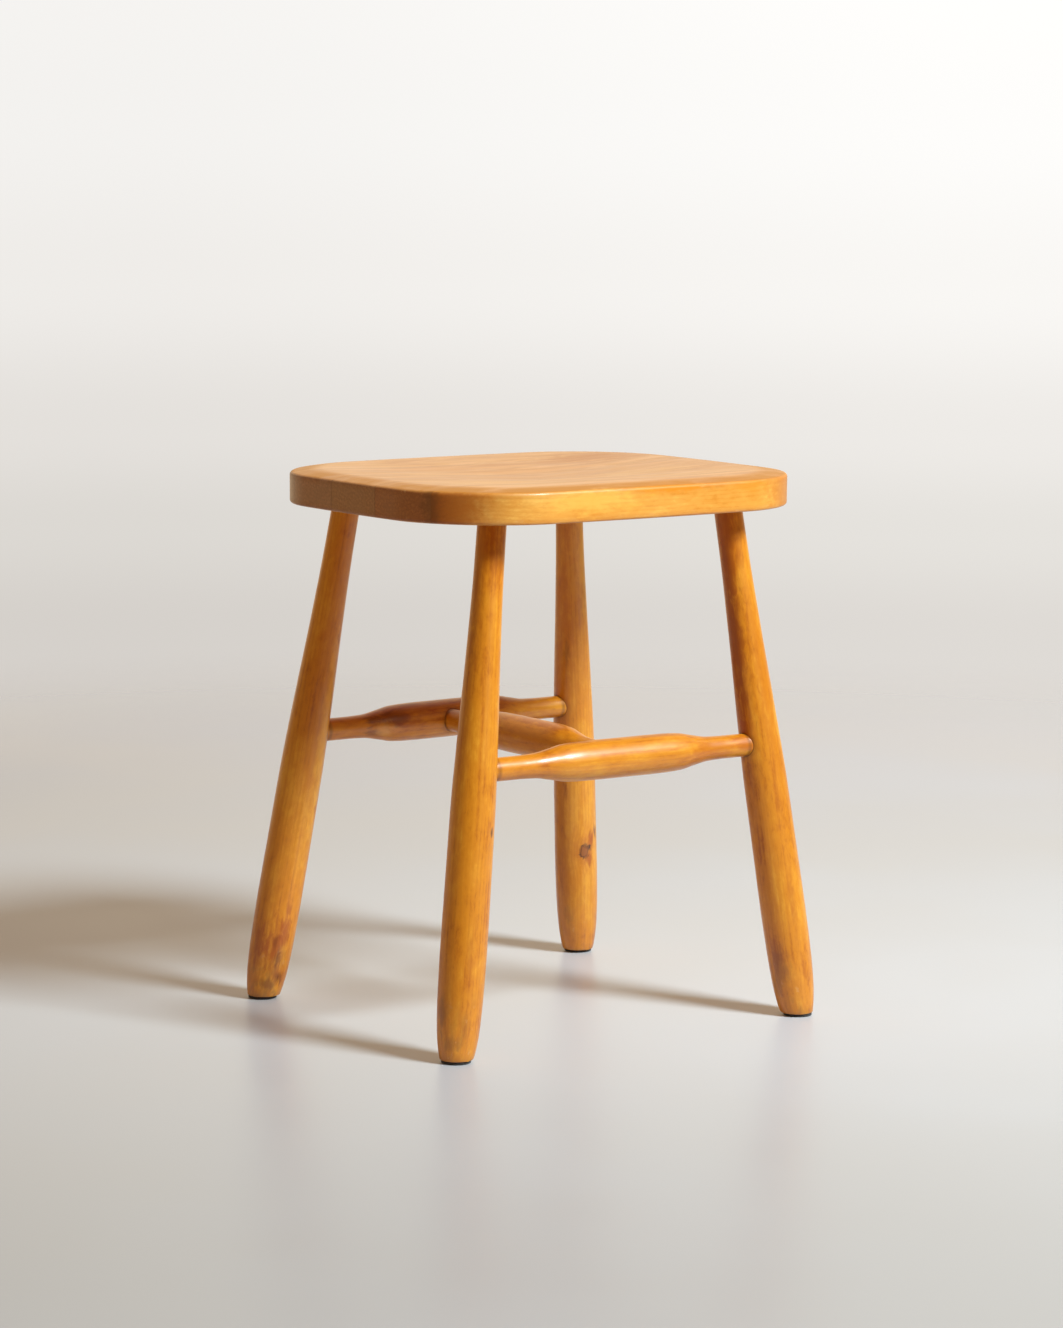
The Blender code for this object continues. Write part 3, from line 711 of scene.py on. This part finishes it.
def build_frame():
    tints = (HONEY_LIGHT, HONEY_MID, HONEY_DARK, END_BROWN)
    # painted shade colour for the shadowed upper left sides of the front legs
    shade = (0.40, 0.092, 0.0022)
    plans = {
        "leg_front_left": dict(
            seed=1.0, tints=tints, pith=(0.030, 0.010),
            stains_and_painted_light=[(0.1802, 0.90, (0.0016, 0.0016, 0.004), BARK, 0.9), (0.043, -0.78, (0.005, 0.005, 0.015), GRIME, 0.50),
                    (0.017, -0.35, (0.007, 0.007, 0.007), GRIME, 0.42), (0.029, 0.31, (0.004, 0.004, 0.014), GRIME, 0.30),
                    # the marks up the left side at 0.385 and 0.250 are painted shade under the seat
                    (0.0834, 0.30, (0.004, 0.004, 0.030), RED_BROWN, 0.35), (0.385, -0.75, (0.010, 0.010, 0.075), shade, 0.62),
                    (0.250, -0.80, (0.005, 0.005, 0.050), shade, 0.35)]),
        "leg_front_right": dict(
            seed=2.0, tints=tints, pith=(-0.022, 0.024),
            stains_and_painted_light=[(0.0405, -0.56, (0.008, 0.008, 0.017), GRIME, 0.42), (0.026, -0.85, (0.006, 0.006, 0.010), GRIME, 0.40),
                    # the marks up the left side at 0.300 and 0.400 are painted shade under the seat
                    (0.0993, 0.43, (0.003, 0.003, 0.030), RED_BROWN, 0.35), (0.300, -0.80, (0.012, 0.012, 0.120), (0.36, 0.078, 0.0015), 0.88),
                    (0.400, -0.50, (0.013, 0.013, 0.060), shade, 0.75), (0.270, 0.75, (0.010, 0.010, 0.110), (0.52, 0.140, 0.0035), 0.50)]),
        "leg_back_left": dict(
            seed=3.0, tints=tints, pith=(0.016, -0.026),
            stains_and_painted_light=[(0.047, 0.30, (0.011, 0.011, 0.026), RED_BROWN, 0.82), (0.058, 0.60, (0.007, 0.007, 0.014), RED_BROWN, 0.70),
                    (0.0514, -0.60, (0.007, 0.007, 0.022), RED_BROWN, 0.60), (0.024, 0.55, (0.006, 0.006, 0.010), RED_BROWN, 0.60),
                    (0.036, 0.42, (0.0030, 0.0030, 0.011), DEEP, 0.85), (0.0525, 0.20, (0.0028, 0.0028, 0.008), DEEP, 0.60),
                    (0.0200, 0.62, (0.0045, 0.0045, 0.006), DEEP, 0.85), (0.0150, 0.10, (0.008, 0.008, 0.006), DEEP, 0.60),
                    (0.0780, 0.55, (0.003, 0.003, 0.006), RED_BROWN, 0.60), (0.100, -0.10, (0.010, 0.010, 0.020), RED_BROWN, 0.12),
                    # the long pale streak on the right side at 0.230 is painted light on the lit side
                    (0.230, 0.86, (0.006, 0.006, 0.120), (0.90, 0.42, 0.030), 0.80)]),
        "leg_back_right": dict(
            seed=4.0, tints=tints, pith=(0.024, 0.018), knots=[(0.0955, 0.42, 0.0046, 0.95)],
            stains_and_painted_light=[(0.1050, 0.74, (0.0042, 0.0042, 0.009), RED_BROWN, 0.90), (0.1120, 0.92, (0.0034, 0.0034, 0.008), DEEP, 0.85),
                    (0.0885, 0.62, (0.0040, 0.0040, 0.007), RED_BROWN, 0.80), (0.1535, -0.47, (0.0030, 0.0030, 0.013), RED_BROWN, 0.70),
                    # the long pale streak on the right side at 0.360 is painted light on the lit side
                    (0.2735, -0.34, (0.0035, 0.0035, 0.013), DEEP, 0.45), (0.360, 0.82, (0.007, 0.007, 0.060), (0.90, 0.42, 0.030), 0.85)]),
    }
    legs = {}
    for name, plan in plans.items():
        seed, own = plan.pop("seed"), plan.pop("tints")
        legs[name] = build_leg(name, seed, own, rungs=["front_stretcher" if "front" in name else "back_stretcher"], **plan)
    rungs = {name: build_stretcher(name, seed) for name, seed in
             (("front_stretcher", 5.0), ("back_stretcher", 6.0), ("cross_stretcher", 7.0))}
    for name, pair in (("front_stretcher", ("leg_front_left", "leg_front_right")),
                       ("back_stretcher", ("leg_back_left", "leg_back_right"))):
        for leg, at in zip(pair, stretcher_ends(name)):
            take_end(legs[leg][0], name, at)
    for name, at in zip(("front_stretcher", "back_stretcher"), stretcher_ends("cross_stretcher")):
        take_end(rungs[name][0], "cross_stretcher", at)
    for name, (leg, finish) in legs.items():
        dress(leg, finish, name)
    for i, (name, (rung, matrix, half)) in enumerate(rungs.items()):
        def on_rung(run, angle):
            a, r = math.radians(angle), sweep(STRETCHER_PROFILE)(abs(run) / half)
            return Vector((r * math.cos(a), r * math.sin(a), run))

        stains_and_painted_light, collars = [], []
        if name == "back_stretcher":
            stains_and_painted_light = [(on_rung(-0.045, 40), (0.012, 0.012, 0.052), RED_BROWN, 0.62),
                      (on_rung(-0.0600, 62), (0.007, 0.007, 0.016), DEEP, 0.80),
                      (on_rung(-0.0789, 60), (0.0050, 0.0050, 0.008), DEEP, 0.80),
                      (on_rung(-0.0792, 118), (0.0050, 0.0050, 0.007), DEEP, 0.55),
                      (on_rung(-0.0690, 104), (0.0060, 0.0060, 0.009), (0.82, 0.40, 0.080), 0.55),
                      (on_rung(0.030, 45), (0.010, 0.010, 0.034), RED_BROWN, 0.50)]
        if name == "cross_stretcher":
            stains_and_painted_light = [(on_rung(-0.020, 150), (0.012, 0.012, 0.034), (0.46, 0.100, 0.003), 0.55),
                      (on_rung(-0.055, 110), (0.009, 0.009, 0.020), RED_BROWN, 0.50),
                      (on_rung(0.045, -60), (0.010, 0.010, 0.026), RED_BROWN, 0.45)]
        if name == "front_stretcher":
            stains_and_painted_light = [(on_rung(0.005, 120), (0.008, 0.008, 0.020), (0.50, 0.120, 0.003), 0.16),
                      (on_rung(0.085, 78), (0.013, 0.013, 0.040), (0.46, 0.108, 0.003), 0.62),
                      (on_rung(0.122, 80), (0.011, 0.011, 0.018), (0.46, 0.108, 0.003), 0.60)]
        # a dark ring round the cross rung's bore: the joint's gap with painted shade round it
        if name != "cross_stretcher":
            at = stretcher_ends("cross_stretcher")[0 if name == "front_stretcher" else 1]
            outward = (at - (stretcher_ends("cross_stretcher")[0] + stretcher_ends("cross_stretcher")[1]) / 2).normalized()
            local = matrix.inverted()
            collars = [(local @ (at - outward * 0.014), local.to_3x3() @ outward, TENON_R)]
        # painted shadow line, with grime, where the rung enters the leg
        gap = 0.0172 if name != "cross_stretcher" else 0.0158
        finish = wood(f"wood_{name}", 5.0 + i, *tints, stains_and_painted_light=stains_and_painted_light, collars=collars, pith=(0.018 - 0.02 * i, 0.022),
                      ends_grime_and_shade=[(-half + gap, 0.0032, 0.55), (half - gap, 0.0032, 0.55)])
        dress(rung, finish, name)


def build_glides():
    finish = felt("glide_felt_finish")
    for leg in LEGS:
        foot = leg_axis(leg, 0)
        bm = bmesh.new()
        n = 12
        edge = 0.0006
        profile = [(0.0, GLIDE_R - edge)]
        profile += [(edge * (1 - math.cos(math.pi / 2 * k / 4)), GLIDE_R - edge + edge * math.sin(math.pi / 2 * k / 4))
                    for k in range(1, 5)]
        profile += [(GLIDE_T - edge + edge * math.sin(math.pi / 2 * k / 4),
                     GLIDE_R - edge + edge * math.cos(math.pi / 2 * k / 4)) for k in range(0, 5)]
        seed = foot.x * 31 + foot.y * 17
        turned_rings(bm, profile, 96, lambda a, z: 0.00016 * noise.noise(
            Vector((math.cos(a) * 9 + seed, math.sin(a) * 9, z * 900))))
        bmesh.ops.recalc_face_normals(bm, faces=bm.faces)
        pad = placed(leg.replace("leg_", "felt_glide_"), bm, Matrix.Translation((foot.x, foot.y, 0.0)))
        dress(pad, finish, leg.replace("leg_", "foot_glide_"))


# ---- studio ---------------------------------------------------------------------------------------------------------------------
def srgb(*c):
    return tuple((v / 255 / 12.92) if v / 255 <= 0.04045 else ((v / 255 + 0.055) / 1.055) ** 2.4 for v in c)


def build_studio():
    scene = bpy.context.scene
    scene.view_settings.view_transform = "Standard"
    scene.view_settings.look = "None"
    scene.view_settings.exposure = 0.0
    scene.view_settings.gamma = 1.0

    # floor: a wide disc that fades into the backdrop
    bm = bmesh.new()
    rings = []
    for r in (0.05, 0.4, 0.8, 1.2, 1.6, 2.0, 2.4, 2.8, 3.4):
        rings.append([bm.verts.new((r * math.cos(2 * math.pi * k / 128), r * math.sin(2 * math.pi * k / 128), 0))
                      for k in range(128)])
    bm.faces.new(rings[0])
    for a, b in zip(rings, rings[1:]):
        for k in range(128):
            j = (k + 1) % 128
            bm.faces.new((a[k], b[k], b[j], a[j]))
    bmesh.ops.recalc_face_normals(bm, faces=bm.faces)
    floor = placed("studio_floor", bm, Matrix.Identity(4))
    g = Graph("studio_floor_paint")
    p = g.tree.nodes.new("ShaderNodeTexCoord").outputs["Object"]
    mottle = g.noise(g.vec("SCALE", p, scale=2.2), 1.0, 3.0, 0.5)[0]
    grit = g.noise(g.vec("SCALE", p, scale=420), 1.0, 3.0, 0.6)[0]
    near = g.vec("DOT_PRODUCT", p, (0.583, 0.812, 0))
    side = g.vec("DOT_PRODUCT", p, (0.812, -0.583, 0))
    paint = g.mix(g.ramp(mottle, 0.3, 0.7), FLOOR_LOW, FLOOR_HIGH)
    # painted light falloff: the floor is painted darker toward the camera and to the left, and lighter far behind the
    # stool
    paint = g.mix(g.ramp(near, -0.95, 0.22, 1.0, 0.0), paint, g.mix(1.0, paint, (0.675, 0.655, 0.630), "MULTIPLY"))
    paint = g.mix(g.ramp(side, -0.75, 0.35, 1.0, 0.0), paint, g.mix(1.0, paint, (0.86, 0.855, 0.845), "MULTIPLY"))
    paint = g.mix(g.ramp(near, 0.7, 1.6), paint, g.mix(1.0, paint, (1.13, 1.15, 1.20), "MULTIPLY"))
    g.put(g.shader.inputs["Base Color"], paint)
    g.put(g.shader.inputs["Roughness"], g.ramp(mottle, 0.3, 0.7, 0.30, 0.38))
    g.shader.inputs["Specular IOR Level"].default_value = 0.30
    g.put(g.shader.inputs["Normal"], g.bump(grit, 0.05, 0.0002))
    clear = g.tree.nodes.new("ShaderNodeBsdfTransparent")
    both = g.tree.nodes.new("ShaderNodeMixShader")
    g.put(both.inputs[0], g.ramp(g.vec("LENGTH", p), 1.2, 2.3))
    g.tree.links.new(g.shader.outputs[0], both.inputs[1])
    g.tree.links.new(clear.outputs[0], both.inputs[2])
    g.tree.links.new(both.outputs[0], g.out.inputs["Surface"])
    floor.data.materials.append(g.material)

    # backdrop: a big pale shell, seen but not lighting anything; its glow is painted light, a gradient that grows
    # brighter upward and to the right
    bm = bmesh.new()
    bmesh.ops.create_uvsphere(bm, u_segments=96, v_segments=64, radius=9.0)
    bmesh.ops.reverse_faces(bm, faces=bm.faces)
    shell = placed("studio_backdrop", bm, Matrix.Identity(4))
    g = Graph("studio_backdrop_paint")
    p = g.tree.nodes.new("ShaderNodeTexCoord").outputs["Object"]
    s = g.tree.nodes.new("ShaderNodeSeparateXYZ")
    g.put(s.inputs[0], p)
    tree = g.tree
    ramp = tree.nodes.new("ShaderNodeValToRGB")
    ramp.color_ramp.interpolation = "EASE"
    stops = BACKDROP_STOPS
    lo, hi = stops[0][0], stops[-1][0]
    while len(ramp.color_ramp.elements) < len(stops):
        ramp.color_ramp.elements.new(0.5)
    for element, (z, colour) in zip(ramp.color_ramp.elements, stops):
        element.position = (z - lo) / (hi - lo)
        element.color = (*srgb(*colour), 1)
    g.put(ramp.inputs[0], g.ramp(s.outputs[2], lo, hi, smooth=False))
    side = g.vec("DOT_PRODUCT", p, (0.812, -0.583, 0))
    glow = tree.nodes.new("ShaderNodeEmission")
    g.put(glow.inputs["Color"], g.mix(g.ramp(side, -1.6, 1.6), g.mix(1.0, ramp.outputs[0], (0.950, 0.942, 0.935), "MULTIPLY"),
                                      g.mix(1.0, ramp.outputs[0], (1.05, 1.05, 1.05), "MULTIPLY")))
    tree.links.new(glow.outputs[0], g.out.inputs["Surface"])
    shell.data.materials.append(g.material)
    for flag in ("visible_diffuse", "visible_glossy", "visible_transmission", "visible_shadow"):
        setattr(shell, flag, False)

    # fill: the room's own soft light, by the side that it comes from
    world = bpy.data.worlds.new("studio_fill")
    scene.world = world
    world.use_nodes = True
    t = world.node_tree
    t.nodes.clear()
    out = t.nodes.new("ShaderNodeOutputWorld")
    back = t.nodes.new("ShaderNodeBackground")
    coords = t.nodes.new("ShaderNodeTexCoord")
    total = None
    for direction, colour in ROOM:
        dot = t.nodes.new("ShaderNodeVectorMath")
        dot.operation = "DOT_PRODUCT"
        t.links.new(coords.outputs["Generated"], dot.inputs[0])
        dot.inputs[1].default_value = Vector(direction).normalized()
        above = t.nodes.new("ShaderNodeMath")
        above.operation = "MAXIMUM"
        t.links.new(dot.outputs["Value"], above.inputs[0])
        above.inputs[1].default_value = 0.0
        lobe = t.nodes.new("ShaderNodeMath")
        lobe.operation = "POWER"
        t.links.new(above.outputs[0], lobe.inputs[0])
        lobe.inputs[1].default_value = 2.0
        tinted = t.nodes.new("ShaderNodeVectorMath")
        tinted.operation = "SCALE"
        tinted.inputs[0].default_value = colour
        t.links.new(lobe.outputs[0], tinted.inputs["Scale"])
        if total is None:
            total = tinted.outputs[0]
        else:
            both = t.nodes.new("ShaderNodeVectorMath")
            both.operation = "ADD"
            t.links.new(total, both.inputs[0])
            t.links.new(tinted.outputs[0], both.inputs[1])
            total = both.outputs[0]
    t.links.new(total, back.inputs["Color"])
    t.links.new(back.outputs[0], out.inputs[0])

    # key: one big soft lamp, front right, 42 degrees up
    direction = Vector(KEY_SIDE).normalized()
    lamp = bpy.data.lights.new("key", "AREA")
    lamp.shape = "DISK"
    lamp.size = KEY_SIZE
    lamp.energy = KEY_POWER
    lamp.color = KEY_COLOUR
    key = bpy.data.objects.new("key", lamp)
    key.location = Vector((0, 0, 0.2)) + direction * KEY_AWAY
    key.rotation_mode = "QUATERNION"
    key.rotation_quaternion = direction.to_track_quat("Z", "Y")
    scene.collection.objects.link(key)

    camera = bpy.data.cameras.new("camera")
    camera.sensor_width = 36.0
    camera.lens = 3926.1 * 36.0 / 1328.0
    camera.clip_start, camera.clip_end = 0.05, 60
    eye = bpy.data.objects.new("camera", camera)
    forward = Vector((0.57739807, 0.80523851, -0.13491631))
    right = Vector((0.8132096, -0.58192788, 0.00707788))
    up = Vector((0.07281218, 0.11380199, 0.99083172))
    m = Matrix((right, up, -forward)).transposed().to_4x4()
    m.translation = Vector((-1.87847, -2.61510, 0.72564))
    eye.matrix_world = m
    scene.collection.objects.link(eye)
    scene.camera = eye


FLOOR_LOW = (0.585, 0.582, 0.605)
FLOOR_HIGH = (0.625, 0.622, 0.647)
BACKDROP_STOPS = (
    (-2.5, (218, 214, 209)), (-0.80, (218, 214, 209)), (-0.50, (225, 222, 217)), (-0.20, (233, 230, 226)),
    (0.25, (244, 242, 239)), (0.75, (249, 248, 246)), (1.2, (251, 250, 248)), (3.0, (252, 252, 250)),
)
ROOM = (  # (side that the light comes from, colour): its share falls off with the square of the cosine
    ((0, 0, 1), (0.15, 0.115, 0.175)),
    ((-0.583, -0.812, 0), (0.265, 0.085, 0.012)),
    ((-0.812, 0.583, 0), (0.450, 0.312, 0.085)),
    ((0.812, -0.583, 0), (0.350, 0.235, 0.080)),
    ((0.583, 0.812, 0), (1.150, 0.950, 0.660)),
)
KEY_SIDE = (0.395, -1.06, 1.0)
KEY_AWAY = 4.4
KEY_SIZE = 1.18
KEY_POWER = 326.0
KEY_COLOUR = (0.765, 0.895, 0.940)

build_seat()
build_frame()
build_glides()
build_studio()

bpy.context.view_layer.update()
